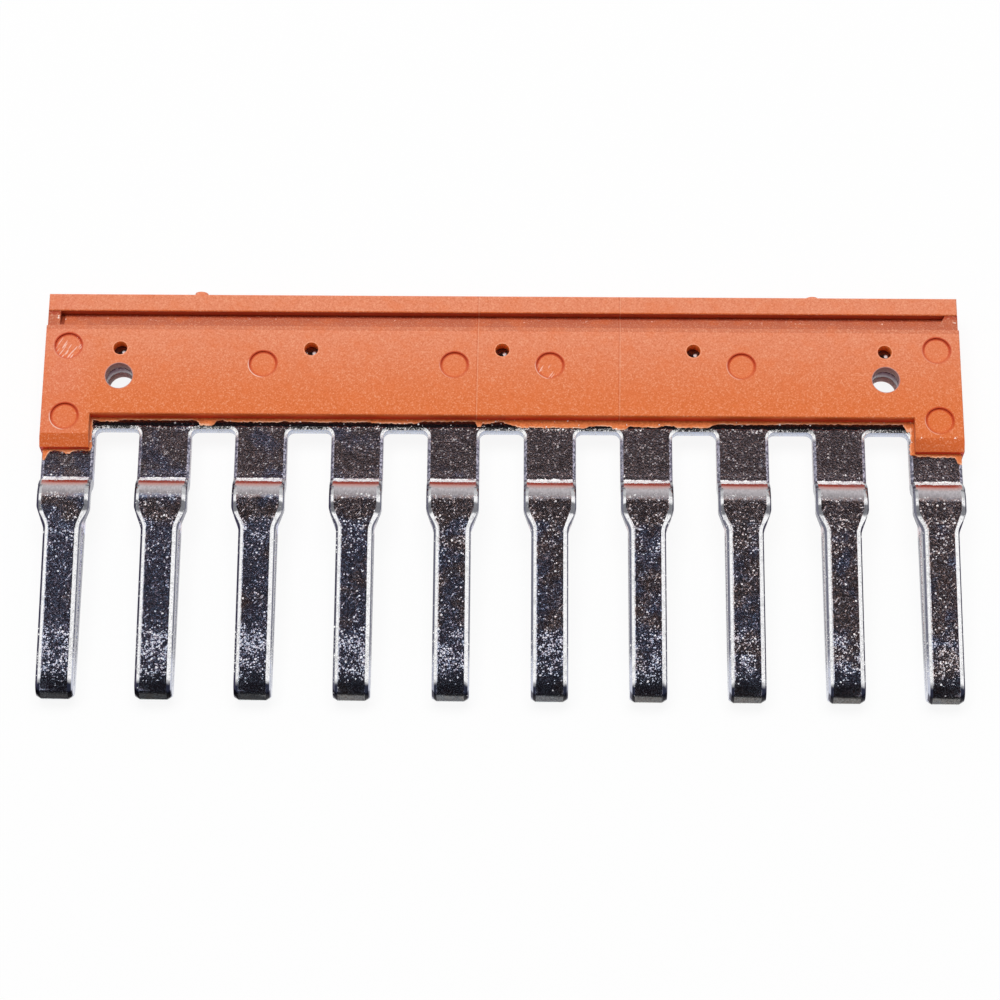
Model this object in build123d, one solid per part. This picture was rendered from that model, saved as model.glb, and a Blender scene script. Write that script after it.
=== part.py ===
"""Ten-pole plug-in jumper bar for rail-mounted terminal blocks, lying on its back.

A comb stamped and folded from one strip of tin-plated copper joins ten neighbouring terminals.
Its spine is moulded into an orange insulating housing, and its blades stay bare to plug in.
X runs along the bar, +Y points from the blade tips to the housing's rim, and +Z is the front.
The model is built about the slot ends (Y = 0) and the middle of the copper sheet (Z = 0).
At the end it is moved so that its origin lies under the middle of the bar, on the resting surface.
"""

import os
from math import asin, atan2, cos, degrees, hypot, radians, sin, tan

from build123d import *

# Poles of the bar, in millimetres as every size here
pole_count = 10
pitch = 6.1

# Copper sheet and comb
sheet = 0.8
spine_height = 6.2
strip_width = 3.3
slot_corner_radius = 0.42
rolled_edge_width = 0.2
rolled_edge_depth = 0.12

# One blade, with distances measured down from the slot ends
strip_flat = 2.6
jog_start = 3.63
jog_angle = 58.0
jog_height = 1.03
jog_inner_radius = 0.15
crest_outer_radius = 1.6
shoulder_end = 5.64
neck_start = 7.03
neck_corner_radius = 0.7
leg_width = 2.3
fold_gap = 0.2
blade_length = 17.69
rear_leg_end = 5.6
rear_leg_proud = 0.25
coining_start = 4.2
coined_edge_width = 0.31
coined_edge_depth = 0.19

# Moulded housing
cover_front = 0.75
cover_back = 0.75
end_wall = 0.12
housing_top = 9.01
cover_edge = 0.69
edge_radius = 0.1

# End feet, which reach down over the outer blades
foot_inset = 0.32
foot_front_end = 0.68
foot_end = 1.48
foot_chamfer_depth = 0.35

# Label rim and the ramped groove under it
rim_height = 1.2
groove_height = 1.0
groove_depth = 0.65
groove_end_wall = 0.87
groove_mitre = 0.55
shelf_depth = 0.1
rim_inset = 0.07

# Locating bores and support-pin holes
bore_diameter = 1.74
bore_height = 3.3
bore_pitches = (-4, 4)
pin_hole_diameter = 0.9
pin_hole_height = 5.22
pin_hole_pitches = (-4, -2, 0, 2, 4)

# Ejector marks and gate stubs
ejector_diameter = 1.75
ejector_depth = 0.12
ejector_end_inset = 1.5
ejector_top_height = 5.36
ejector_foot_height = 0.52
ejector_row_height = 4.19
ejector_row_pitches = (-2.5, -0.5, 0.5, 2.5)
gate_diameter = 0.85
gate_setback = 0.5
gate_stubs = ((-19.4, 0.22), (19.9, 0.1))

# How far a cutter runs past the face that it cuts, how near two sizes count as equal, and the
# share of a face's normal that points to the front where the face counts as a front face
cutter_margin = 1.0
near = 0.01
front_share = 0.9

# Sizes that follow from the ones above
half_sheet = sheet / 2
front_z = half_sheet + cover_front
back_z = -half_sheet - cover_back
rest_z = back_z - rear_leg_proud
blade_x = [pitch * (i - (pole_count - 1) / 2) for i in range(pole_count)]
bore_x = [i * pitch for i in bore_pitches]
comb_half = blade_x[-1] + strip_width / 2
housing_half = comb_half + end_wall
foot_inner_x = comb_half - strip_width + foot_inset
top_y = housing_top + max(height for _, height in gate_stubs)
middle_y = (top_y - blade_length) / 2


def blade_profile():
    """Centre lines of the bent sheet in side view: spine end to fold, then fold to free end."""
    fold_radius = half_sheet + fold_gap / 2
    rear_z = rest_z + half_sheet
    fold_y = -blade_length + fold_radius + half_sheet
    fold_z = rear_z + fold_radius
    crest_y = -jog_start - jog_height / tan(radians(jog_angle))
    run = crest_y - fold_y
    rise = jog_height - fold_z
    lean = atan2(rise, run) - asin(fold_radius / hypot(run, rise))
    leg_y = fold_y - fold_radius * sin(lean)
    leg_z = fold_z + fold_radius * cos(lean)
    down = FilletPolyline(
        (-strip_flat, 0),
        (-jog_start, 0),
        (crest_y, jog_height),
        (leg_y, leg_z),
        radius=[jog_inner_radius + half_sheet, crest_outer_radius - half_sheet],
    )
    fold = CenterArc((fold_y, fold_z), fold_radius, 90 + degrees(lean), 180 - degrees(lean))
    up = Line((fold_y, rear_z), (-rear_leg_end, rear_z))
    return down, fold, up


def coined(leg):
    """The leg with its outer skin's side edges coined, from the crest round the fold to its end."""
    front_faces = leg.faces().filter_by(lambda face: face.normal_at().Z > front_share)
    leg_face = front_faces.sort_by(SortBy.AREA)[-1]
    side_edges = leg_face.edges().filter_by(Axis.X, reverse=True).sort_by(SortBy.LENGTH)[-2:]
    return chamfer(side_edges, coined_edge_width, coined_edge_depth, reference=leg_face)


def blade():
    """One hairpin blade about X = 0, as the jog below its strip, and its coined and folded leg."""
    down, fold, up = blade_profile()
    front_section = Plane.YZ * trace(down, sheet)
    rear_section = Plane.YZ * (trace(fold, sheet) + trace(up, sheet))
    half_strip = strip_width / 2
    half_leg = leg_width / 2
    right_side = [
        (half_strip, -strip_flat),
        (half_strip, -shoulder_end),
        (half_leg, -neck_start),
        (half_leg, -blade_length),
    ]
    left_side = [(-x, y) for x, y in reversed(right_side)]
    outline = make_face(Polyline(*right_side, *left_side, close=True))
    neck_corners = [v for v in outline.vertices() if -neck_start - near < v.Y < -shoulder_end + near]
    outline = fillet(neck_corners, neck_corner_radius)
    outline_prism = Pos(0, 0, rest_z) * extrude(outline, amount=front_z - rest_z + cutter_margin)
    front = extrude(front_section, amount=half_strip, both=True) & outline_prism
    rear = extrude(rear_section, amount=half_leg, both=True)
    coining_line = Plane(origin=(0, -coining_start, 0), z_dir=(0, 1, 0))
    jog = split(front, coining_line, keep=Keep.TOP)
    leg = split(front, coining_line, keep=Keep.BOTTOM) + rear
    return jog, coined(leg)


def comb_plate():
    """The flat of the comb: spine and strips with rounded slot ends, and two locating holes."""
    spine = Pos(0, spine_height / 2) * Rectangle(2 * comb_half, spine_height)
    strip = Pos(0, -strip_flat / 2) * Rectangle(strip_width, strip_flat)
    outline = spine + [Pos(x, 0) * strip for x in blade_x]
    slot_corners = [v for v in outline.vertices() if abs(v.Y) < near and abs(v.X) < comb_half - near]
    outline = fillet(slot_corners, slot_corner_radius)
    hole = Circle(bore_diameter / 2)
    outline -= [Pos(x, bore_height) * hole for x in bore_x]
    return extrude(outline, amount=half_sheet, both=True)


def contact_comb():
    """The stamped comb: its flat plate, and on each strip a jog and a folded leg."""
    jog, leg = blade()
    comb = comb_plate() + [Pos(x, 0, 0) * jog for x in blade_x]
    comb += [Pos(x, 0, 0) * leg for x in blade_x]
    flat_faces = comb.faces().filter_by_position(Axis.Z, half_sheet - near, half_sheet + near)
    plate_face = flat_faces.sort_by(SortBy.AREA)[-1]
    rolled = [e for e in plate_face.edges() if e.center().Y < bore_height / 2 and not crosses_strip(e)]
    return chamfer(rolled, rolled_edge_width, rolled_edge_depth, reference=plate_face)


def crosses_strip(edge):
    """True for the line across a strip where its jog begins."""
    return edge.center().Y < -strip_flat and abs(edge.length - strip_width) < near


def block(x_low, x_high, y_low, y_high, z_low, z_high):
    """A box from its two corners."""
    size = (x_high - x_low, y_high - y_low, z_high - z_low)
    middle = ((x_low + x_high) / 2, (y_low + y_high) / 2, (z_low + z_high) / 2)
    return Pos(*middle) * Box(*size)


def housing_body():
    """The moulded bar with its two feet, edges rounded, before anything is cut into it."""
    rim_bottom = housing_top - rim_height
    groove_bottom = rim_bottom - groove_height
    rim_half = housing_half - rim_inset
    thickness = front_z - back_z
    main = Pos(0, (cover_edge + groove_bottom) / 2) * Rectangle(2 * housing_half, groove_bottom - cover_edge)
    top = Pos(0, (groove_bottom + housing_top) / 2) * Rectangle(2 * rim_half, housing_top - groove_bottom)
    foot_size = (housing_half - foot_inner_x, cover_edge + foot_end)
    foot = Pos((foot_inner_x + housing_half) / 2, (cover_edge - foot_end) / 2) * Rectangle(*foot_size)
    outline = main + top + foot + mirror(foot, about=Plane.YZ)
    body = Pos(0, 0, back_z) * extrude(outline, amount=thickness)
    face_edges = body.edges().filter_by(lambda e: abs(e.tangent_at(0.5).Z) < near)
    return fillet(face_edges, edge_radius)


def foot_chamfers():
    """Wedges that thin both feet towards their ends, front and back."""
    slope = foot_chamfer_depth / (foot_end - foot_front_end)
    wedge_end = foot_end + cutter_margin
    wedge_depth = slope * (wedge_end - foot_front_end)
    wedge = make_face(
        Polyline(
            (-foot_front_end, front_z),
            (-wedge_end, front_z),
            (-wedge_end, front_z - wedge_depth),
            close=True,
        )
    )
    front = extrude(Plane.YZ * wedge, amount=housing_half + cutter_margin, both=True)
    return front + mirror(front, about=Plane.XY)


def label_groove():
    """The groove under the rim: deep at the rim, ramped up to the face, one end mitred."""
    wall_y = housing_top - rim_height
    ramp_y = wall_y - groove_height
    end_x = housing_half - groove_end_wall
    over_z = front_z + cutter_margin
    floor_z = front_z - groove_depth
    section = make_face(
        Polyline((wall_y, over_z), (wall_y, floor_z), (ramp_y, front_z), (ramp_y, over_z), close=True)
    )
    plan = make_face(
        Polyline(
            (-end_x, wall_y),
            (end_x, wall_y),
            (end_x - groove_mitre, ramp_y),
            (-end_x, ramp_y),
            close=True,
        )
    )
    ramp = extrude(Plane.YZ * section, amount=end_x, both=True)
    return ramp & (Pos(0, 0, back_z) * extrude(plan, amount=over_z - back_z))


def end_shelves():
    """The low shelves between the rim and the face, outwards from each end of the groove."""
    wall_y = housing_top - rim_height
    ramp_y = wall_y - groove_height
    end_x = housing_half - groove_end_wall
    over_x = housing_half + cutter_margin
    shelf_z = front_z - shelf_depth
    over_z = front_z + cutter_margin
    left = block(-over_x, -end_x, ramp_y, wall_y, shelf_z, over_z)
    right = block(end_x - groove_mitre, over_x, ramp_y, wall_y, shelf_z, over_z)
    return left + right


def rim_rounding():
    """The sliver that comes off the rim's lower front edge to round it."""
    wall_y = housing_top - rim_height
    square = Pos(wall_y + edge_radius / 2, front_z - edge_radius / 2) * Rectangle(edge_radius, edge_radius)
    sliver = square - Pos(wall_y + edge_radius, front_z - edge_radius) * Circle(edge_radius)
    return extrude(Plane.YZ * sliver, amount=housing_half + cutter_margin, both=True)


def bores_and_pin_holes():
    """Two locating bores right through, and the support-pin holes that end on the sheet."""
    thickness = front_z - back_z
    bore = Cylinder(bore_diameter / 2, 2 * thickness)
    pin_hole = Cylinder(pin_hole_diameter / 2, 2 * thickness)
    bores = [Pos(x, bore_height, 0) * bore for x in bore_x]
    pin_holes = [Pos(i * pitch, pin_hole_height, 0) * pin_hole for i in pin_hole_pitches]
    layer = block(-housing_half, housing_half, 0, housing_top, -half_sheet, half_sheet)
    return bores + [hole - layer for hole in pin_holes]


def ejector_marks():
    """Shallow discs that the ejector pins left in the front face."""
    mark = Pos(0, 0, front_z) * Cylinder(ejector_diameter / 2, 2 * ejector_depth)
    end_x = housing_half - ejector_end_inset
    places = [(side * end_x, y) for side in (-1, 1) for y in (ejector_top_height, ejector_foot_height)]
    places += [(i * pitch, ejector_row_height) for i in ejector_row_pitches]
    return [Pos(x, y, 0) * mark for x, y in places]


def gate_stub(x, height):
    """One broken-off gate on the top edge."""
    length = height + rim_height / 2
    stub = Rot(90, 0, 0) * Cylinder(gate_diameter / 2, length)
    return Pos(x, housing_top + height - length / 2, front_z - gate_setback) * stub


def insulating_housing(comb):
    """The one-piece moulding round the comb's spine."""
    housing = housing_body() - foot_chamfers() - label_groove() - end_shelves() - rim_rounding()
    housing -= bores_and_pin_holes()
    housing -= ejector_marks()
    housing += [gate_stub(x, height) for x, height in gate_stubs]
    return housing - comb


comb = contact_comb()
housing = insulating_housing(comb)
origin_shift = Pos(0, -middle_y, -rest_z)
os.makedirs("parts", exist_ok=True)
export_step(origin_shift * comb, "parts/contact_comb.step")
export_step(origin_shift * housing, "parts/insulating_housing.step")
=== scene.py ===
"""Looks of a ten-pole plug-in jumper bar: a tinned copper comb moulded into an orange housing."""

from math import cos, pi, radians, sin

import bmesh
import bpy
from mathutils import Matrix, Vector


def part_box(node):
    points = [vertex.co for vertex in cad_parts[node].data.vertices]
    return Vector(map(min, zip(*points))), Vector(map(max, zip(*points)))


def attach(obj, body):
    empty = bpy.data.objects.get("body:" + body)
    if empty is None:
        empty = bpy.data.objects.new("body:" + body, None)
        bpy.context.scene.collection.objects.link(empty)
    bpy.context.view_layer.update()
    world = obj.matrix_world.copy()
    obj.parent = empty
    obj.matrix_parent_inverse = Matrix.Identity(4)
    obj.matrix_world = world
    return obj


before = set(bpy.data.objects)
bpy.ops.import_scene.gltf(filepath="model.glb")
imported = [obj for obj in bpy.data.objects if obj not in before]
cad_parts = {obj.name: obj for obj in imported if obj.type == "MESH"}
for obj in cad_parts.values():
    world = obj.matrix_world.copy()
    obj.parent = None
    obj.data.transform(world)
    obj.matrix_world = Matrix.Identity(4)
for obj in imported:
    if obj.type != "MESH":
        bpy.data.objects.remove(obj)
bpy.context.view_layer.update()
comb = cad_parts["contact_comb"]
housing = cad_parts["insulating_housing"]


# Camera. The bar lies on its back with its blades towards the viewer, and the camera looks down on
# it from beyond the blade tips, 21 degrees off the vertical, with a long lens from close by.
camera_tilt = radians(21.0)
camera_pan = radians(-0.2589)
camera_roll = radians(0.346)
camera_distance = 0.18728
camera_target = Vector((-0.000076, -0.00081, 0.00255))

look = Vector((sin(camera_pan), sin(camera_tilt) * cos(camera_pan), -cos(camera_tilt) * cos(camera_pan)))
look.normalize()
level_right = look.cross(Vector((0, cos(camera_tilt), sin(camera_tilt)))).normalized()
level_up = level_right.cross(look)
right = level_right * cos(camera_roll) + level_up * sin(camera_roll)
up = level_up * cos(camera_roll) - level_right * sin(camera_roll)

camera = bpy.data.objects.new("camera", bpy.data.cameras.new("camera"))
bpy.context.scene.collection.objects.link(camera)
camera.data.sensor_width = 36.0
camera.data.lens = 107.68
camera.data.clip_start = 0.01
camera.data.clip_end = 10.0
camera.matrix_world = Matrix.Translation(camera_target - look * camera_distance) @ Matrix(
    (
        (right.x, up.x, -look.x, 0),
        (right.y, up.y, -look.y, 0),
        (right.z, up.z, -look.z, 0),
        (0, 0, 0, 1),
    )
)
bpy.context.scene.camera = camera
bpy.context.scene.view_settings.view_transform = "Standard"


# Tabletop. A wide sheet of matt white paper under the bar. The camera and reflections see it
# nearly white, and it keeps a faint share of the shadow that the bar casts.
paper_size = 1.6
paper_gap = 0.00004
paper_glow_share = 0.9
bpy.ops.object.select_all(action="DESELECT")
bpy.ops.mesh.primitive_plane_add(size=paper_size, location=(0, 0, -paper_gap))
tabletop = bpy.context.object
tabletop.name = "tabletop"


def add_node(tree, kind, **settings):
    """A node of that kind, with its own settings, and its sockets' values by their names."""
    node = tree.nodes.new(kind)
    for name, value in settings.items():
        if hasattr(node, name):
            setattr(node, name, value)
        else:
            node.inputs[name.replace("_", " ")].default_value = value
    return node


def new_material(name):
    """An empty material, its node tree, and its output node."""
    material = bpy.data.materials.new(name)
    material.use_nodes = True
    tree = material.node_tree
    tree.nodes.clear()
    output = add_node(tree, "ShaderNodeOutputMaterial")
    return material, tree, output


def seen_share(tree, share):
    """That share for rays from the camera, a reflection or glass, and 0 for diffuse light."""
    rays = add_node(tree, "ShaderNodeLightPath")
    camera_or_gloss = add_node(tree, "ShaderNodeMath", operation="MAXIMUM")
    tree.links.new(rays.outputs["Is Camera Ray"], camera_or_gloss.inputs[0])
    tree.links.new(rays.outputs["Is Glossy Ray"], camera_or_gloss.inputs[1])
    seen = add_node(tree, "ShaderNodeMath", operation="MAXIMUM")
    tree.links.new(camera_or_gloss.outputs[0], seen.inputs[0])
    tree.links.new(rays.outputs["Is Transmission Ray"], seen.inputs[1])
    scaled = add_node(tree, "ShaderNodeMath", operation="MULTIPLY")
    tree.links.new(seen.outputs[0], scaled.inputs[0])
    scaled.inputs[1].default_value = share
    return scaled.outputs[0]


paper, tree, output = new_material("white_paper")
matt = add_node(tree, "ShaderNodeBsdfDiffuse", Color=(0.86, 0.86, 0.86, 1))
glow = add_node(tree, "ShaderNodeEmission", Color=(1, 1, 1, 1), Strength=1.0)
blend = add_node(tree, "ShaderNodeMixShader")
tree.links.new(seen_share(tree, paper_glow_share), blend.inputs[0])
tree.links.new(matt.outputs[0], blend.inputs[1])
tree.links.new(glow.outputs[0], blend.inputs[2])
tree.links.new(blend.outputs[0], output.inputs["Surface"])
tabletop.data.materials.append(paper)


# Studio light. White walls all round that reflections see in full and matt surfaces faintly, one
# wide soft lamp behind the bar's rim, and dark boards that keep the flat metal black.
wall_glow_share = 0.7
wall_base_level = 0.3
world = bpy.data.worlds.new("studio_walls")
world.use_nodes = True
bpy.context.scene.world = world
tree = world.node_tree
tree.nodes.clear()
output = add_node(tree, "ShaderNodeOutputWorld")
walls = add_node(tree, "ShaderNodeBackground", Color=(1, 1, 1, 1))
wall_level = add_node(tree, "ShaderNodeMath", operation="ADD")
wall_level.inputs[1].default_value = wall_base_level
tree.links.new(seen_share(tree, wall_glow_share), wall_level.inputs[0])
tree.links.new(wall_level.outputs[0], walls.inputs["Strength"])
tree.links.new(walls.outputs[0], output.inputs["Surface"])

lamp = bpy.data.objects.new("rim_lamp", bpy.data.lights.new("rim_lamp", "AREA"))
bpy.context.scene.collection.objects.link(lamp)
lamp.data.shape = "RECTANGLE"
lamp.data.size = 0.7
lamp.data.size_y = 0.35
lamp.data.energy = 4.7
lamp.location = (-0.05, 0.22, 0.66)
lamp.rotation_euler = lamp.location.to_track_quat("Z", "Y").to_euler()
lamp.visible_glossy = False


def plug(tree, value, socket):
    """Links a socket, or sets a plain value."""
    if isinstance(value, bpy.types.NodeSocket):
        tree.links.new(value, socket)
    else:
        socket.default_value = value


def ramp(tree, value, start, end, low=0.0, high=1.0):
    """Goes smoothly from low to high while the value goes from start to end."""
    node = add_node(tree, "ShaderNodeMapRange", interpolation_type="SMOOTHSTEP")
    for socket, setting in zip(node.inputs, (value, start, end, low, high)):
        plug(tree, setting, socket)
    return node.outputs[0]


def place_in_mm(tree):
    """The place on the piece in millimetres, as a vector and as its X, Y and Z."""
    coordinates = add_node(tree, "ShaderNodeTexCoord")
    scaled = add_node(tree, "ShaderNodeVectorMath", operation="SCALE", Scale=1000.0)
    tree.links.new(coordinates.outputs["Object"], scaled.inputs[0])
    split = add_node(tree, "ShaderNodeSeparateXYZ")
    tree.links.new(scaled.outputs[0], split.inputs[0])
    return scaled.outputs[0], split.outputs[0], split.outputs[1], split.outputs[2]


def hang_board(name, low, high, glow):
    """A card that only reflections see, its emission set by the function that it is given."""
    middle = (Vector(low) + Vector(high)) / 2
    upright = high[1] - low[1] < high[2] - low[2]
    bpy.ops.object.select_all(action="DESELECT")
    bpy.ops.mesh.primitive_plane_add(size=1.0, location=middle, rotation=(pi / 2 if upright else 0, 0, 0))
    board = bpy.context.object
    board.name = name
    board.scale = (high[0] - low[0], max(high[1] - low[1], high[2] - low[2]), 1)
    bpy.ops.object.transform_apply(location=True, rotation=True, scale=True)
    board.visible_camera = False
    board.visible_diffuse = False
    board.visible_shadow = False
    felt, tree, output = new_material(name)
    shader = add_node(tree, "ShaderNodeEmission", Color=(1.0, 0.93, 0.97, 1))
    plug(tree, glow(tree), shader.inputs["Strength"])
    tree.links.new(shader.outputs[0], output.inputs["Surface"])
    board.data.materials.append(felt)


board_black = 0.022
top_half_width = 0.34
front_half_width = 0.75
board_height = 0.5
board_front = -1.05
board_back = 0.62
card_height = 0.00002
card_back = -0.0136
hang_board(
    "black_board",
    (-top_half_width, board_front, board_height),
    (top_half_width, board_back, board_height),
    lambda tree: ramp(tree, place_in_mm(tree)[2], 230.0, 600.0, board_black, 1.0),
)
hang_board(
    "front_board",
    (-front_half_width, board_front, 0.0),
    (front_half_width, board_front, board_height),
    lambda tree: board_black,
)
# The grey card on the paper before the tips is painted shade: it stands in for the shaded paper that the
# tips reflect
hang_board(
    "tip_shade_card",
    (-front_half_width, board_front, card_height),
    (front_half_width, card_back, card_height),
    lambda tree: ramp(tree, place_in_mm(tree)[1], -14.4, -13.7, 0.07, 0.24),
)


# Contact comb. One strip of copper sheet, stamped, jogged, coined and folded back into ten hairpin
# blades, then barrel plated with tin, which left a fine grain and small nodules with painted white glints.
pitch = 6.1
half_strip = 1.65
half_leg = 1.15
slot_end_y = 1000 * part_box("contact_comb")[1].y - 6.2
shoulder_y = slot_end_y - 5.64
neck_y = slot_end_y - 7.03
crest_y = slot_end_y - 4.3
fold_y = 1000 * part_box("contact_comb")[0].y + 0.9
bore_x = 24.4
bore_y = 7.53
pin_y = 9.45
black = (0, 0, 0)
white = (1, 1, 1)


def number(tree, operation, *values):
    """One sum on sockets or plain numbers."""
    node = add_node(tree, "ShaderNodeMath", operation=operation)
    for socket, value in zip(node.inputs, values):
        plug(tree, value, socket)
    return node.outputs[0]


def product(tree, first, *others):
    """All the patterns multiplied."""
    for value in others:
        first = number(tree, "MULTIPLY", first, value)
    return first


def greatest(tree, first, *others):
    """At each place, the highest of the patterns."""
    for value in others:
        first = number(tree, "MAXIMUM", first, value)
    return first


def raised(tree, value, where, amount):
    """The value, with that amount added where the second pattern is 1."""
    return number(tree, "MULTIPLY_ADD", where, amount, value)


def dimmed(tree, value, where, amount):
    """The value, with that share of it taken off where the second pattern is 1."""
    return product(tree, value, raised(tree, 1.0, where, -amount))


def band(tree, value, low, high, soft):
    """1 where the value lies between low and high, falling to 0 over the soft width outside."""
    return product(tree, ramp(tree, value, low - soft, low), ramp(tree, value, high + soft, high))


def from_axis(tree, across, along):
    """How far a place is from an upright axis, from its distances across and along."""
    return number(tree, "SQRT", raised(tree, product(tree, along, along), across, across))


def colour_mix(tree, share, first, second):
    """A colour between the first and the second, each a socket or its red, green and blue."""
    node = add_node(tree, "ShaderNodeMix", data_type="RGBA")
    plug(tree, share, node.inputs[0])
    for socket, colour in ((node.inputs[6], first), (node.inputs[7], second)):
        plug(tree, (*colour, 1) if isinstance(colour, tuple) else colour, socket)
    return node.outputs[2]


def tinted(tree, under, tint, *shares):
    """The colour under it, covered by the tint where all the shares are 1."""
    return colour_mix(tree, product(tree, *shares), under, tint)


def noise(tree, place, size, detail=2.0, roughness=0.5):
    """A cloudy pattern from 0 to 1 whose patches are about the given size across, in millimetres."""
    node = add_node(tree, "ShaderNodeTexNoise", Scale=1 / size, Detail=detail, Roughness=roughness)
    tree.links.new(place, node.inputs["Vector"])
    return node.outputs[0]


def drawn_out(tree, place, turn, stretch):
    """The place for a pattern that is drawn out along one way, turned by that many degrees."""
    node = add_node(tree, "ShaderNodeMapping", vector_type="TEXTURE", Scale=stretch)
    node.inputs["Rotation"].default_value = (0, 0, radians(turn))
    tree.links.new(place, node.inputs["Vector"])
    return node.outputs[0]


def sparks(tree, place, cell, size, wanted):
    """Small bright spots of uneven size and outline, in the wanted share of the cells."""
    shifted = add_node(tree, "ShaderNodeVectorMath", operation="MULTIPLY_ADD")
    tree.links.new(noise(tree, place, cell * 0.6), shifted.inputs[0])
    shifted.inputs[1].default_value = (cell * 0.7, cell * 0.5, 0)
    tree.links.new(place, shifted.inputs[2])
    cells = add_node(tree, "ShaderNodeTexVoronoi", Scale=1 / cell)
    tree.links.new(shifted.outputs[0], cells.inputs["Vector"])
    chance = add_node(tree, "ShaderNodeSeparateColor")
    tree.links.new(cells.outputs["Color"], chance.inputs[0])
    radius = raised(tree, size * 0.6, chance.outputs[1], size * 0.6)
    core = ramp(tree, number(tree, "DIVIDE", cells.outputs["Distance"], radius), 1.0, 0.45)
    strength = raised(tree, 0.6, chance.outputs[2], 0.5)
    return product(tree, core, strength, number(tree, "LESS_THAN", chance.outputs[0], wanted))


def facing(tree):
    """Which way the surface faces, as its X, Y and Z."""
    split = add_node(tree, "ShaderNodeSeparateXYZ")
    tree.links.new(add_node(tree, "ShaderNodeTexCoord").outputs["Normal"], split.inputs[0])
    return split.outputs[0], split.outputs[1], split.outputs[2]


def surface(tree, output, colour, relief, depth, **finish):
    """The shader, with the relief raised by that depth in metres, and its finish by socket names."""
    bump = add_node(tree, "ShaderNodeBump", Strength=1.0, Distance=depth)
    tree.links.new(relief, bump.inputs["Height"])
    shader = add_node(tree, "ShaderNodeBsdfPrincipled")
    tree.links.new(colour, shader.inputs["Base Color"])
    tree.links.new(bump.outputs[0], shader.inputs["Normal"])
    for name, value in finish.items():
        plug(tree, value, shader.inputs[name.replace("_", " ")])
    tree.links.new(shader.outputs[0], output.inputs["Surface"])


tin, tree, output = new_material("tinned_copper")
place, x, y, z = place_in_mm(tree)
facing_x, _, facing_z = facing(tree)
sideways = number(tree, "ABSOLUTE", facing_x)
poles = number(tree, "FRACT", number(tree, "DIVIDE", x, pitch))
off_middle = number(tree, "SUBTRACT", poles, 0.5)
across = product(tree, number(tree, "ABSOLUTE", off_middle), pitch)
half_width = ramp(tree, y, neck_y, shoulder_y, half_leg, half_strip)
from_edge = number(tree, "SUBTRACT", half_width, across)

# The metal lies smooth where the mould clamped it, over the crest of the jog and round the fold
ragged = noise(tree, place, 0.35, 3.0, 0.7)
uneven_y = raised(tree, y, number(tree, "SUBTRACT", ragged, 0.5), 0.4)
clamped = ramp(tree, uneven_y, slot_end_y + 0.1, slot_end_y + 0.16)
crest = band(tree, uneven_y, crest_y - 0.3, crest_y + 0.5, 0.24)
fold = ramp(tree, y, fold_y + 1.1, fold_y - 0.3, 0.0, 0.9)
smooth = greatest(tree, product(tree, clamped, 0.8), crest, fold)
rough = number(tree, "SUBTRACT", 1.0, smooth)

# Nodules of tin with painted white glints, few on the strips, in clusters below the neck, and dense
# towards the fold
below_neck = band(tree, y, neck_y - 1.3, neck_y + 0.6, 0.5)
near_fold = band(tree, y, fold_y + 0.6, fold_y + 2.6, 1.25)
under_crest = band(tree, y, crest_y - 0.7, crest_y - 0.3, 0.15)
at_clamp = band(tree, uneven_y, slot_end_y - 0.06, slot_end_y + 0.1, 0.06)
on_strip = ramp(tree, y, crest_y + 1.2, crest_y + 1.6)
wanted = 0.05
for zone, share in (
    (below_neck, 0.12),
    (near_fold, ramp(tree, x, -8.0, 6.0, 0.5, 0.36)),
    (under_crest, ramp(tree, x, -24.0, -10.0, 0.4, 0.15)),
    (at_clamp, 0.5),
    (on_strip, 0.06),
):
    wanted = raised(tree, wanted, zone, share)
clusters = ramp(tree, noise(tree, place, 0.9), 0.38, 0.62, 0.35, 1.5)
wanted = product(tree, wanted, clusters, rough)
large_share = ramp(tree, x, -8.0, 6.0, 0.85, 0.6)
nodules_and_glints = sparks(tree, place, 0.15, 0.5, product(tree, wanted, large_share))
pinpricks = sparks(tree, place, 0.1, 0.5, product(tree, wanted, 1.3))
nodules_and_glints = greatest(tree, nodules_and_glints, product(tree, pinpricks, 0.75))
on_bare_strip = product(tree, on_strip, ramp(tree, y, slot_end_y, slot_end_y - 0.3))
nodules_and_glints = dimmed(tree, nodules_and_glints, on_bare_strip, 0.45)

# Short scratches, mostly slantwise
slantwise = drawn_out(tree, place, 52, (5.0, 1.0, 1.0))
scratches = ramp(tree, noise(tree, slantwise, 0.12, 1.0), 0.71, 0.77)
nodules_and_glints = greatest(tree, nodules_and_glints, product(tree, scratches, rough, 0.4))

# Painted glints, close together along the coined edges of the blades
by_edge = raised(tree, from_edge, ragged, 0.14)
by_edge = raised(tree, by_edge, off_middle, 0.3)
by_edge = product(
    tree,
    ramp(tree, by_edge, 0.42, 0.34),
    ramp(tree, sideways, 0.3, 0.12),
    ramp(tree, y, crest_y - 1.7, crest_y - 2.0),
    ramp(tree, y, fold_y - 0.1, fold_y + 0.25),
)
edge_sparks = ramp(tree, noise(tree, place, 0.08, 1.0), 0.4, 0.5, 0.25, 1.0)
nodules_and_glints = greatest(tree, nodules_and_glints, product(tree, by_edge, edge_sparks))

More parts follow.
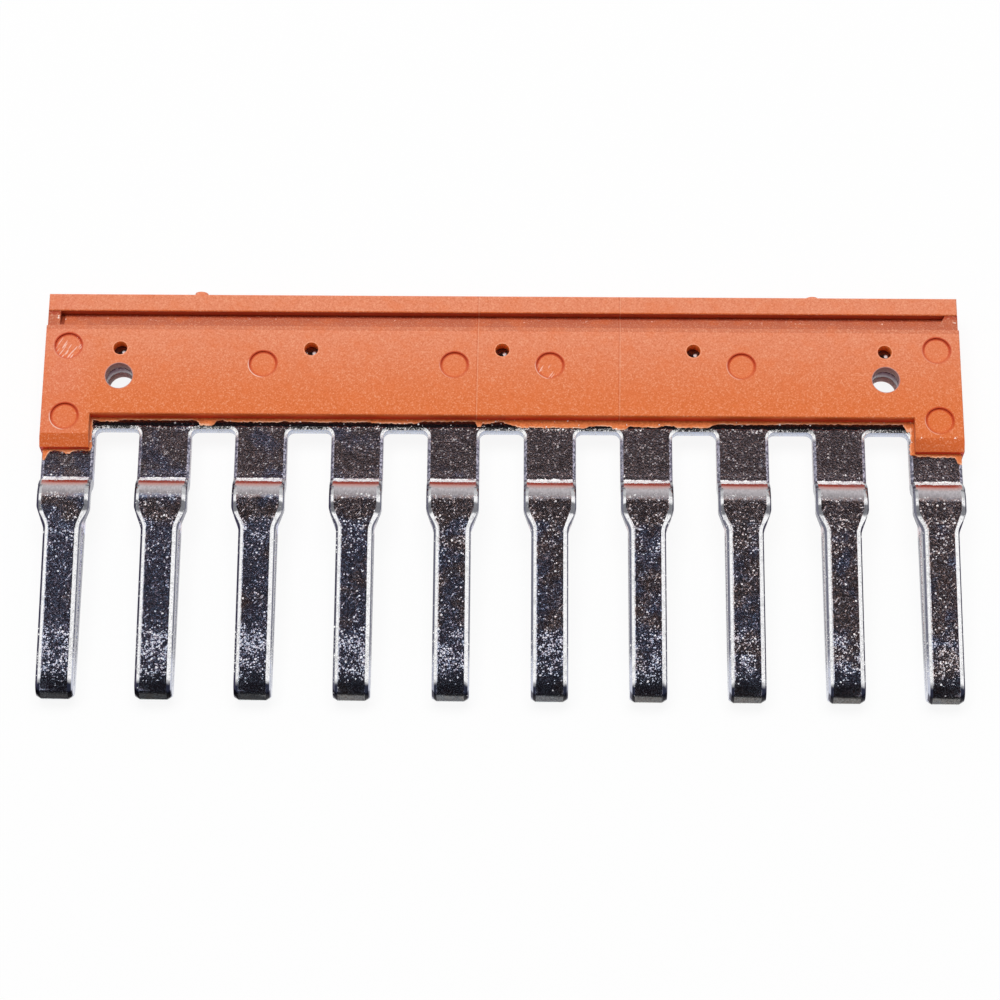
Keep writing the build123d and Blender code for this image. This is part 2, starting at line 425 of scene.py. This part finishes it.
# Crystals of the plating, fainter on the strips and in the calm middle of the left blades
grain = noise(tree, place, 0.12, 3.0, 0.65)
shade = ramp(tree, noise(tree, place, 0.5, 2.0), 0.36, 0.66, 0.12, 1.4)
calm = band(tree, y, fold_y + 4.6, neck_y - 1.6, 1.2)
calm = product(tree, calm, ramp(tree, x, -10.0, 4.0, 1.0, 0.0))
shade = dimmed(tree, shade, calm, 0.35)
shade = product(tree, shade, ramp(tree, y, neck_y - 0.5, neck_y + 0.5, 1.0, 0.8))
shade = dimmed(tree, shade, near_fold, 0.35)
lift = product(tree, ramp(tree, grain, 0.48, 0.7), shade, 0.21)
lift = product(tree, number(tree, "ADD", lift, 0.006), rough)
relief = raised(tree, product(tree, grain, rough), nodules_and_glints, 0.8)

# The tin leans to brown on the strips and to blue towards the left and the fold
leaning = raised(tree, noise(tree, place, 1.4, 2.0), x, -0.006)
leaning = raised(tree, leaning, ramp(tree, y, neck_y, neck_y + 1.0), -0.2)
leaning = raised(tree, leaning, near_fold, 0.18)
brown, blue = (0.92, 0.72, 0.68), (0.62, 0.68, 1.0)
metal = colour_mix(tree, ramp(tree, leaning, 0.36, 0.6), brown, blue)
fine_spots = ramp(tree, noise(tree, place, 0.15), 0.42, 0.58)
metal = colour_mix(tree, 0.33, metal, colour_mix(tree, fine_spots, (0.85, 0.5, 0.5), (0.4, 0.6, 0.95)))
pits = ramp(tree, noise(tree, place, 0.2, 3.0, 0.6), 0.46, 0.36, 0.0, 0.55)
metal = tinted(tree, metal, (0.1, 0.1, 0.14), pits, rough)

# Round the fold painted reflections, navy, then nearly black, and grey under the tip where the shaded
# paper is reflected
fold_grain = ramp(tree, noise(tree, place, 0.11, 3.0, 0.7), 0.38, 0.62)
fold_reflection_dark = colour_mix(tree, fold_grain, (0.2, 0.15, 0.22), (0.62, 0.8, 1.0))
fold_black = band(tree, y, fold_y - 0.62, fold_y - 0.2, 0.12)
fold_reflection_dark = tinted(tree, fold_reflection_dark, (0.1, 0.08, 0.1), fold_black, 0.45)
fold_reflection_grey = colour_mix(tree, fold_grain, (0.36, 0.4, 0.36), (0.82, 0.92, 0.84))
fold_reflection_tint = colour_mix(tree, ramp(tree, y, fold_y - 0.6, fold_y - 0.75), fold_reflection_dark, fold_reflection_grey)
metal = tinted(tree, metal, fold_reflection_tint, fold, 0.85)

# The strips get painted shade by the housing, and a painted dark reflection where the mould clamped them
in_shade = product(tree, ramp(tree, noise(tree, place, 0.45), 0.35, 0.6, 1.0, 0.6), on_strip)
metal = tinted(tree, metal, (0.1, 0.08, 0.08), in_shade, 0.6)
metal = tinted(tree, metal, (0.12, 0.12, 0.16), clamped, 0.8)

# The crest gets a painted grey reflection in streaks, and a painted red reflection lies on its upper side
on_front = ramp(tree, sideways, 0.35, 0.2)
crest_reflection = product(tree, band(tree, uneven_y, crest_y - 0.4, crest_y + 0.4, 0.45), on_front)
streaks = noise(tree, drawn_out(tree, place, 0, (1.0, 1 / 0.35, 1.0)), 0.09, 2.0)
crest_grey = ramp(tree, y, crest_y - 0.1, crest_y - 0.55, 0.4, 0.3)
crest_grey = product(tree, crest_grey, ramp(tree, streaks, 0.3, 0.7, 0.86, 1.16))
metal = colour_mix(tree, crest_reflection, metal, colour_mix(tree, crest_grey, black, (1, 0.93, 0.97)))
red_reflection_y = raised(tree, y, number(tree, "POWER", across, 4.0), -0.015)
red_reflection = product(
    tree,
    ramp(tree, red_reflection_y, crest_y - 0.1, crest_y + 0.4),
    ramp(tree, red_reflection_y, crest_y + 0.58, crest_y + 0.53),
    ramp(tree, streaks, 0.25, 0.5, 0.6, 1.0),
    on_front,
)
red_reflection_tone = ramp(tree, y, crest_y + 0.15, crest_y + 0.4)
red_reflection_tone = colour_mix(tree, red_reflection_tone, (0.5, 0.17, 0.12), (0.34, 0.055, 0.035))
metal = colour_mix(tree, red_reflection, metal, red_reflection_tone)

# Above the red reflection the slope gets a painted white highlight, with a broken painted grey reflection
# over it as a border
border = band(tree, uneven_y, crest_y + 0.92, crest_y + 1.12, 0.12)
broken = ramp(tree, noise(tree, place, 0.13), 0.38, 0.58, 1.0, 0.3)
metal = tinted(tree, metal, (0.26, 0.22, 0.25), border, broken, on_front)
flare = band(tree, uneven_y, crest_y + 0.58, crest_y + 0.92, 0.03)
flare = product(tree, flare, on_front, ramp(tree, noise(tree, place, 0.14), 0.32, 0.44))
metal = colour_mix(tree, flare, metal, white)

# Painted highlights on the coined edges, white on the blades and duller on the strips, end before the
# fold; there and under the tip the edges are painted dark and grey for their reflection
coined = band(tree, sideways, 0.35, 0.75, 0.15)
along_strip = ramp(tree, y, crest_y + 0.75, crest_y + 0.95)
flecks = ramp(tree, noise(tree, place, 0.1, 2.0), 0.35, 0.6, 0.86, 1.0)
shine = product(tree, ramp(tree, noise(tree, place, 0.4), 0.3, 0.46, 0.8, 1.0), flecks)
shine = dimmed(tree, shine, band(tree, uneven_y, crest_y - 1.55, crest_y - 1.05, 0.2), 0.8)
shine = product(tree, shine, ramp(tree, y, crest_y - 0.2, crest_y + 0.1, 1.0, 0.6))
shine = dimmed(tree, shine, band(tree, uneven_y, crest_y - 0.45, crest_y + 0.5, 0.15), 0.45)
dull = ramp(tree, noise(tree, place, 0.14, 2.0), 0.36, 0.66, 0.08, 0.7)
shine = raised(tree, shine, along_strip, number(tree, "SUBTRACT", dull, shine))
shine = product(tree, shine, ramp(tree, uneven_y, fold_y - 0.25, fold_y + 0.25))
in_slot_corner = ramp(tree, from_edge, -0.02, -0.06)
shine = greatest(tree, shine, product(tree, in_slot_corner, 0.85))
under_tip = ramp(tree, y, fold_y - 0.62, fold_y - 0.8)
edge_dark_reflection = colour_mix(tree, under_tip, (0.022, 0.025, 0.045), (0.14, 0.145, 0.155))
edge_highlight = colour_mix(tree, along_strip, (0.99, 0.99, 1.0), (0.8, 0.76, 0.92))
metal = colour_mix(tree, coined, metal, colour_mix(tree, shine, edge_dark_reflection, edge_highlight))

# A painted reflection along the outermost edge, dark on the outer side and lavender on the inner side
line_width = ramp(tree, facing_x, -0.2, 0.2, 0.17, 0.1)
outline = ramp(tree, number(tree, "DIVIDE", from_edge, line_width), 1.0, 0.6)
outline = product(tree, outline, ramp(tree, sideways, 0.15, 0.3))
outline = dimmed(tree, outline, in_slot_corner, 1.0)
outline = dimmed(tree, outline, along_strip, 0.5)
inward = ramp(tree, product(tree, x, facing_x), 8.0, -1.0)
inward = product(tree, inward, ramp(tree, y, fold_y + 2.4, fold_y + 0.9, 0.25, 1.0))
outline_reflection = colour_mix(tree, inward, (0.04, 0.035, 0.07), (0.56, 0.58, 0.68))
metal = colour_mix(tree, outline, metal, outline_reflection)

# At the slot ends a painted white highlight on the lip over a wall painted dull lavender for its
# reflection, and the metal walls of the two bores painted dark for their reflection
at_slot_end = ramp(tree, y, slot_end_y - 0.75, slot_end_y - 0.3)
lip = product(tree, band(tree, facing_z, 0.45, 0.9, 0.06), at_slot_end)
metal = tinted(tree, metal, white, lip, ramp(tree, grain, 0.34, 0.46, 0.6, 1.0))
slot_wall = product(tree, ramp(tree, facing_z, 0.3, 0.15), at_slot_end)
slot_wall_reflection = colour_mix(tree, ramp(tree, z, 1.7, 1.1), (0.34, 0.38, 0.5), (0.62, 0.66, 0.78))
metal = colour_mix(tree, slot_wall, metal, slot_wall_reflection)
off_bore = number(tree, "SUBTRACT", number(tree, "ABSOLUTE", x), bore_x)
from_bore = from_axis(tree, off_bore, number(tree, "SUBTRACT", y, bore_y))
metal = tinted(tree, metal, (0.1, 0.04, 0.055), ramp(tree, from_bore, 1.3, 1.2, 0.0, 0.95))

# A spot of light on the metal at the bottom of each support pin's hole
off_spot = number(tree, "WRAP", number(tree, "SUBTRACT", x, 0.15), pitch, -pitch)
from_spot = from_axis(tree, off_spot, number(tree, "SUBTRACT", y, pin_y + 0.01))
nodules_and_glints = greatest(tree, nodules_and_glints, product(tree, ramp(tree, from_spot, 0.17, 0.06), 0.9))
# Painted white glints on the nodules, scratches and coined edges, and the painted spots of light
metal = colour_mix(tree, nodules_and_glints, metal, white)

matt_share = greatest(
    tree,
    lift,
    product(tree, greatest(tree, nodules_and_glints, flare), 0.85),
    product(tree, greatest(tree, crest_reflection, red_reflection), 0.75),
)
surface(
    tree,
    output,
    metal,
    relief,
    0.000022,
    Metallic=number(tree, "SUBTRACT", 1.0, matt_share),
    Roughness=ramp(tree, grain, 0.3, 0.7, 0.12, 0.26),
)


def finish_node(node, material, edge):
    """Gives a CAD node its material, and rounds its sharp edges by that width."""
    node.data.materials.clear()
    node.data.materials.append(material)
    weld = node.modifiers.new("weld", "WELD")
    weld.merge_threshold = 0.000001
    flats = node.modifiers.new("flats", "DECIMATE")
    flats.decimate_type = "DISSOLVE"
    flats.angle_limit = radians(1.0)
    edges = node.modifiers.new("edges", "BEVEL")
    edges.width = edge
    edges.segments = 2
    edges.limit_method = "ANGLE"
    edges.angle_limit = radians(25.0)
    edges.harden_normals = True


finish_node(comb, tin, 0.00003)


# Insulating housing. Orange polyamide moulded round the comb's spine in one shot, satin from the
# spark-eroded mould, with two fine joint lines of the mould's inserts down its front.
groove_back = 1000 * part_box("insulating_housing")[1].y - 1.42
groove_front = groove_back - 1.0
groove_left = -28.36
ledge_wall_z = 2.0
insert_joint_x = (-1.57, 7.5)
mark_radius = 0.875
dark_orange = (0.46, 0.115, 0.06)

polyamide, tree, output = new_material("orange_polyamide")
place, x, y, z = place_in_mm(tree)
facing_y = facing(tree)[1]
# Painted sheen: the face is paler and pinker towards the rim. It is also pinker towards the left end
colour = colour_mix(tree, ramp(tree, y, 5.0, 11.5), (0.7, 0.165, 0.045), (0.75, 0.245, 0.13))
colour = colour_mix(tree, ramp(tree, x, -25.5, -28.0, 0.0, 0.45), colour, (0.74, 0.22, 0.13))

# The groove under the rim and a strip before it get painted shade, with an uneven painted shadow along its
# back and a dark line at its front
in_groove = band(tree, y, groove_front, groove_back, 0.02)
colour = tinted(tree, colour, dark_orange, in_groove, 0.9)
before_groove = band(tree, y, groove_front - 0.24, groove_front, 0.02)
colour = tinted(tree, colour, dark_orange, before_groove, 0.4)
back_line = raised(tree, y, number(tree, "SUBTRACT", noise(tree, place, 0.8), 0.5), 0.25)
back_line = product(tree, ramp(tree, back_line, groove_back - 0.34, groove_back - 0.1), in_groove)
colour = tinted(tree, colour, (0.36, 0.03, 0.012), back_line, 0.8)
front_line = band(tree, y, groove_front - 0.28, groove_front - 0.26, 0.02)
colour = tinted(tree, colour, (0.45, 0.07, 0.02), front_line, 0.35)
# Painted shade on the chamfers, which tilt towards the blades, away from the lamp
on_chamfer = band(tree, facing_y, -0.75, -0.2, 0.05)
colour = colour_mix(tree, on_chamfer, colour, (0.66, 0.125, 0.025))

# A mottle from the spark-eroded mould, and larger faint clouds
mottle = noise(tree, place, 0.1, 3.0, 0.7)
colour = colour_mix(tree, ramp(tree, mottle, 0.5, 0.32, 0.0, 0.48), colour, (0.52, 0.1, 0.02))
colour = colour_mix(tree, ramp(tree, mottle, 0.5, 0.7, 0.0, 0.52), colour, (0.93, 0.48, 0.3))
clouds = noise(tree, place, 1.3, 3.0, 0.6)
colour = colour_mix(tree, ramp(tree, clouds, 0.45, 0.7, 0.0, 0.3), colour, (0.72, 0.16, 0.04))

# Steep walls that face the blades get painted shade, deep red, browner towards their upper edge and in the
# groove
shaded = ramp(tree, facing_y, -0.8, -0.95)
wall_red = ramp(tree, z, ledge_wall_z, ledge_wall_z + 0.5)
wall_red = colour_mix(tree, wall_red, (0.8, 0.03, 0.006), (1.0, 0.15, 0.01))
wall_red = colour_mix(tree, ramp(tree, y, 10.0, 11.0), wall_red, (0.45, 0.06, 0.015))
colour = tinted(tree, colour, wall_red, shaded, 0.85)

# A painted shadow at the groove's left end, and painted glints towards its back
end_shadow = band(tree, x, groove_left, groove_left + 0.24, 0.06)
end_shadow = product(tree, end_shadow, band(tree, y, groove_front + 0.05, groove_back - 0.05, 0.02))
colour = tinted(tree, colour, (0.2, 0.025, 0.008), end_shadow, 0.85)
groove_glints = band(tree, y, groove_back - 0.52, groove_back - 0.3, 0.03)
groove_glints = product(tree, groove_glints, ramp(tree, noise(tree, place, 0.22), 0.66, 0.74))
colour = colour_mix(tree, groove_glints, colour, (1.0, 0.78, 0.68))

# The bores' walls are dull pink in the light that comes up through them
off_bore = number(tree, "SUBTRACT", number(tree, "ABSOLUTE", x), bore_x)
from_bore = from_axis(tree, off_bore, number(tree, "SUBTRACT", y, bore_y))
colour = colour_mix(tree, ramp(tree, from_bore, 0.93, 0.88, 0.0, 0.8), colour, (0.5, 0.3, 0.3))

# Two joint lines of the mould's inserts
insert_joints = []
for joint_x in insert_joint_x:
    drift = number(tree, "MULTIPLY_ADD", number(tree, "SUBTRACT", y, 8.0), 0.012, joint_x)
    off_joint = number(tree, "SUBTRACT", x, drift)
    seam_shadow = band(tree, off_joint, -0.09, -0.05, 0.02)
    colour = tinted(tree, colour, (0.5, 0.07, 0.015), seam_shadow, 0.35)
    insert_joints.append(band(tree, off_joint, -0.012, 0.012, 0.03))
insert_joints = greatest(tree, *insert_joints)
colour = tinted(tree, colour, (0.9, 0.52, 0.36), insert_joints, 0.26)

# Round each ejector mark, a painted red shadow over the top and a painted pale glint at the lower left
mark_shadows, mark_glints, mark_discs = [], [], []
for mark_x, mark_y, glint in (
    (-27.72, 9.59, 0.2),
    (27.72, 9.59, 0.2),
    (-27.72, 4.75, 1.0),
    (27.72, 4.75, 0.5),
    (-15.25, 8.42, 1.0),
    (-3.05, 8.42, 0.3),
    (3.05, 8.42, 0.6),
    (15.25, 8.42, 0.5),
):
    right_of = number(tree, "SUBTRACT", x, mark_x)
    above = number(tree, "SUBTRACT", y, mark_y)
    reach = from_axis(tree, right_of, above)
    shadow_line = band(tree, reach, mark_radius - 0.08, mark_radius + 0.03, 0.08)
    mark_shadows.append(product(tree, shadow_line, ramp(tree, above, -0.85, 0.5, 0.42, 1.0)))
    lower_left = raised(tree, product(tree, above, -0.6), right_of, -0.8)
    ring = band(tree, reach, mark_radius + 0.06, mark_radius + 0.08, 0.03)
    mark_glints.append(product(tree, ring, ramp(tree, lower_left, 0.45, 0.85), glint))
    mark_discs.append(ramp(tree, reach, mark_radius, mark_radius - 0.08))
mark_discs = greatest(tree, *mark_discs)
colour = tinted(tree, colour, (0.72, 0.15, 0.03), mark_discs, 0.3)
colour = tinted(tree, colour, (0.5, 0.04, 0.008), greatest(tree, *mark_shadows), 0.85)
colour = tinted(tree, colour, (1.0, 0.8, 0.7), greatest(tree, *mark_glints), 0.6)

# Two of the marks are scratched across
scores = noise(tree, drawn_out(tree, place, 58, (6.0, 1.0, 1.0)), 0.12, 1.0)
at_joint = product(tree, band(tree, x, 2.3, 3.9, 0.1), ramp(tree, y, 8.6, 8.2))
at_corner = product(tree, ramp(tree, x, -26.8, -27.0), ramp(tree, y, 8.6, 8.8))
scored = product(tree, ramp(tree, scores, 0.6, 0.68), mark_discs, greatest(tree, at_joint, at_corner))
colour = tinted(tree, colour, (1.0, 0.72, 0.62), scored, 0.6)

# Pin holes with painted light on their walls, bright orange, and a painted highlight round their rims, and
# painted glints along the feet's chamfers
off_pin = number(tree, "WRAP", x, pitch, -pitch)
from_pin = from_axis(tree, off_pin, number(tree, "SUBTRACT", y, pin_y))
colour = colour_mix(tree, ramp(tree, from_pin, 0.47, 0.44), colour, (1.0, 0.3, 0.06))
colour = tinted(tree, colour, (0.95, 0.42, 0.28), band(tree, from_pin, 0.48, 0.5, 0.03), 0.45)
foot_glints = product(
    tree,
    band(tree, y, 3.53, 3.62, 0.03),
    ramp(tree, number(tree, "ABSOLUTE", x), 25.9, 26.2),
    ramp(tree, noise(tree, place, 0.2), 0.63, 0.7),
)
colour = colour_mix(tree, foot_glints, colour, (1.0, 0.85, 0.78))

skin_relief = raised(tree, mottle, insert_joints, 0.8)
surface(tree, output, colour, skin_relief, 0.000009, Roughness=0.5, Specular_IOR_Level=0.35)
finish_node(housing, polyamide, 0.00004)


# Flash. Where the mould closed on the copper, a thin skin of polyamide crept out over the metal
# along the ledge, round the feet and down their inner sides, with a paler, ragged border.
ledge_y = 0.00492
foot_end_y = 0.00275
foot_inner_x = 0.02612
foot_outer_x = 0.02905
sheet_face = 0.0018
flash_thickness = 0.00004
flash_root = 0.0004
flash_column = 0.00011
flash_waver = 0.000035

creep, tree, output = new_material("polyamide_flash")
place = place_in_mm(tree)[0]
outwards = add_node(tree, "ShaderNodeSeparateXYZ")
tree.links.new(add_node(tree, "ShaderNodeTexCoord").outputs["UV"], outwards.inputs[0])
mottle = noise(tree, place, 0.15, 3.0, 0.7)
colour = colour_mix(tree, ramp(tree, mottle, 0.3, 0.7), (0.6, 0.13, 0.025), (0.8, 0.24, 0.07))
border = ramp(tree, raised(tree, outwards.outputs[1], mottle, 0.2), 0.26, 0.16)
border = product(tree, border, ramp(tree, noise(tree, place, 0.5), 0.4, 0.6, 0.15, 0.7))
colour = colour_mix(tree, border, colour, (1.0, 0.62, 0.42))
# Painted glints, small and white, on the skin
colour = colour_mix(tree, sparks(tree, place, 0.17, 0.42, 0.1), colour, (1.0, 0.88, 0.82))
surface(tree, output, colour, mottle, 0.00001, Roughness=0.4)


def select_points(piece, wanted):
    """In edit mode, selects only the points that the test takes."""
    bpy.ops.mesh.select_all(action="DESELECT")
    points = bmesh.from_edit_mesh(piece.data)
    for point in points.verts:
        point.select_set(wanted(point))
    points.select_flush_mode()
    bmesh.update_edit_mesh(piece.data)


def flash_skin(name, length, depth, turn, corner, pulls, seed):
    """A skin that grows from its root line along X, shaped by pulls, then turned and set in place.

    Each pull gives in millimetres where it starts and ends along the skin, how far it draws the
    free edge out, and how far its effect reaches.
    """
    columns = max(int(length / flash_column), 6)
    step = length / columns
    bpy.ops.object.select_all(action="DESELECT")
    bpy.ops.mesh.primitive_grid_add(x_subdivisions=columns, y_subdivisions=3, size=1.0, location=(0, 0, 0))
    skin = bpy.context.object
    skin.name = name
    bpy.ops.object.mode_set(mode="EDIT")
    bpy.ops.transform.resize(value=(length, depth + flash_root, 1))
    bpy.ops.transform.translate(value=(length / 2, (flash_root - depth) / 2, 0))
    select_points(skin, lambda point: point.co.y > flash_root - 0.00001)
    bpy.ops.mesh.hide(unselected=False)
    for sizes in pulls:
        start, end, pull, reach = (size / 1000 for size in sizes)
        low, high = start - step * 0.75, end + step * 0.75
        select_points(
            skin, lambda point: not point.hide and point.co.y < -depth / 2 and low < point.co.x < high
        )
        bpy.ops.transform.translate(
            value=(0, -pull, 0),
            use_proportional_edit=True,
            proportional_edit_falloff="SMOOTH",
            proportional_size=reach,
        )
    select_points(skin, lambda point: not point.hide and point.co.y < -depth / 2)
    bpy.ops.transform.vertex_random(offset=flash_waver, uniform=1.0, normal=0.0, seed=seed)
    bpy.ops.mesh.reveal(select=False)
    bpy.ops.mesh.select_all(action="SELECT")
    bpy.ops.transform.rotate(value=-turn, orient_axis="Z", center_override=(0, 0, 0))
    bpy.ops.transform.translate(value=corner)
    bpy.ops.object.mode_set(mode="OBJECT")
    body = skin.modifiers.new("thickness", "SOLIDIFY")
    body.thickness = flash_thickness
    body.offset = 1.0
    rounded = skin.modifiers.new("rounded", "BEVEL")
    rounded.width = 0.000012
    rounded.segments = 2
    rounded.limit_method = "ANGLE"
    for modifier in ("thickness", "rounded"):
        bpy.ops.object.modifier_apply(modifier=modifier)
    bpy.ops.object.shade_smooth_by_angle(angle=radians(40))
    skin.data.materials.append(creep)
    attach(skin, "root")


# The ledge's pulls are listed from the bar's middle, and moved to start at the skin's left end
ledge_pulls = [
    (start + 1000 * foot_inner_x, end + 1000 * foot_inner_x, pull, reach)
    for start, end, pull, reach in (
        (-25.4, -24.6, 0.13, 0.6),
        (-23.6, -20.0, 0.03, 0.6),
        (-19.05, -18.45, 0.36, 0.42),
        (-17.2, -14.3, 0.12, 0.6),
        (-13.4, -8.8, 0.09, 0.6),
        (-8.0, -5.6, 0.16, 0.6),
        (-4.6, -2.4, 0.01, 0.4),
        (-1.55, -1.3, 0.38, 0.12),
        (-1.1, -0.8, 0.14, 0.4),
        (0.8, 7.6, 0.28, 0.9),
        (1.2, 5.2, 0.12, 0.5),
        (7.2, 7.8, 0.2, 0.3),
        (8.4, 13.0, 0.22, 0.8),
        (8.6, 9.8, 0.1, 0.5),
        (11.4, 12.8, 0.12, 0.6),
        (13.8, 17.2, 0.1, 1.2),
        (18.4, 25.0, 0.05, 0.6),
        (25.7, 26.1, 0.55, 0.25),
    )
]
left_foot_pulls = ((0, 0.1, 0.6, 0.4), (1.5, 1.7, 0.18, 0.22), (2.2, 2.6, -0.04, 0.3))
right_foot_pulls = ((0.3, 0.5, 0.06, 0.3), (1.1, 2.3, 0.1, 0.4), (2.8, 2.93, 0.6, 0.4))
left_side_pulls = ((0.4, 0.6, 0.03, 0.4), (1.4, 1.6, 0.02, 0.5))
right_side_pulls = ((0.3, 0.5, 0.04, 0.4), (1.2, 1.5, 0.06, 0.6), (1.9, 2.1, 0.1, 0.5))
foot_width = foot_outer_x - foot_inner_x
side_overlap = 0.0001
side_end_y = foot_end_y - side_overlap
side_length = ledge_y - foot_end_y + side_overlap
quarter = radians(90)
for name, length, depth, turn, corner_x, corner_y, pulls, seed in (
    ("ledge_flash", 2 * foot_inner_x, 0.00014, 0.0, -foot_inner_x, ledge_y, ledge_pulls, 3),
    ("left_foot_flash", foot_width, 0.00014, 0.0, -foot_outer_x, foot_end_y, left_foot_pulls, 5),
    ("right_foot_flash", foot_width, 0.00014, 0.0, foot_inner_x, foot_end_y, right_foot_pulls, 7),
    ("left_side_flash", side_length, 0.00013, quarter, -foot_inner_x, side_end_y, left_side_pulls, 11),
    ("right_side_flash", side_length, 0.00018, -quarter, foot_inner_x, ledge_y, right_side_pulls, 13),
):
    flash_skin(name, length, depth, turn, (corner_x, corner_y, sheet_face), pulls, seed)
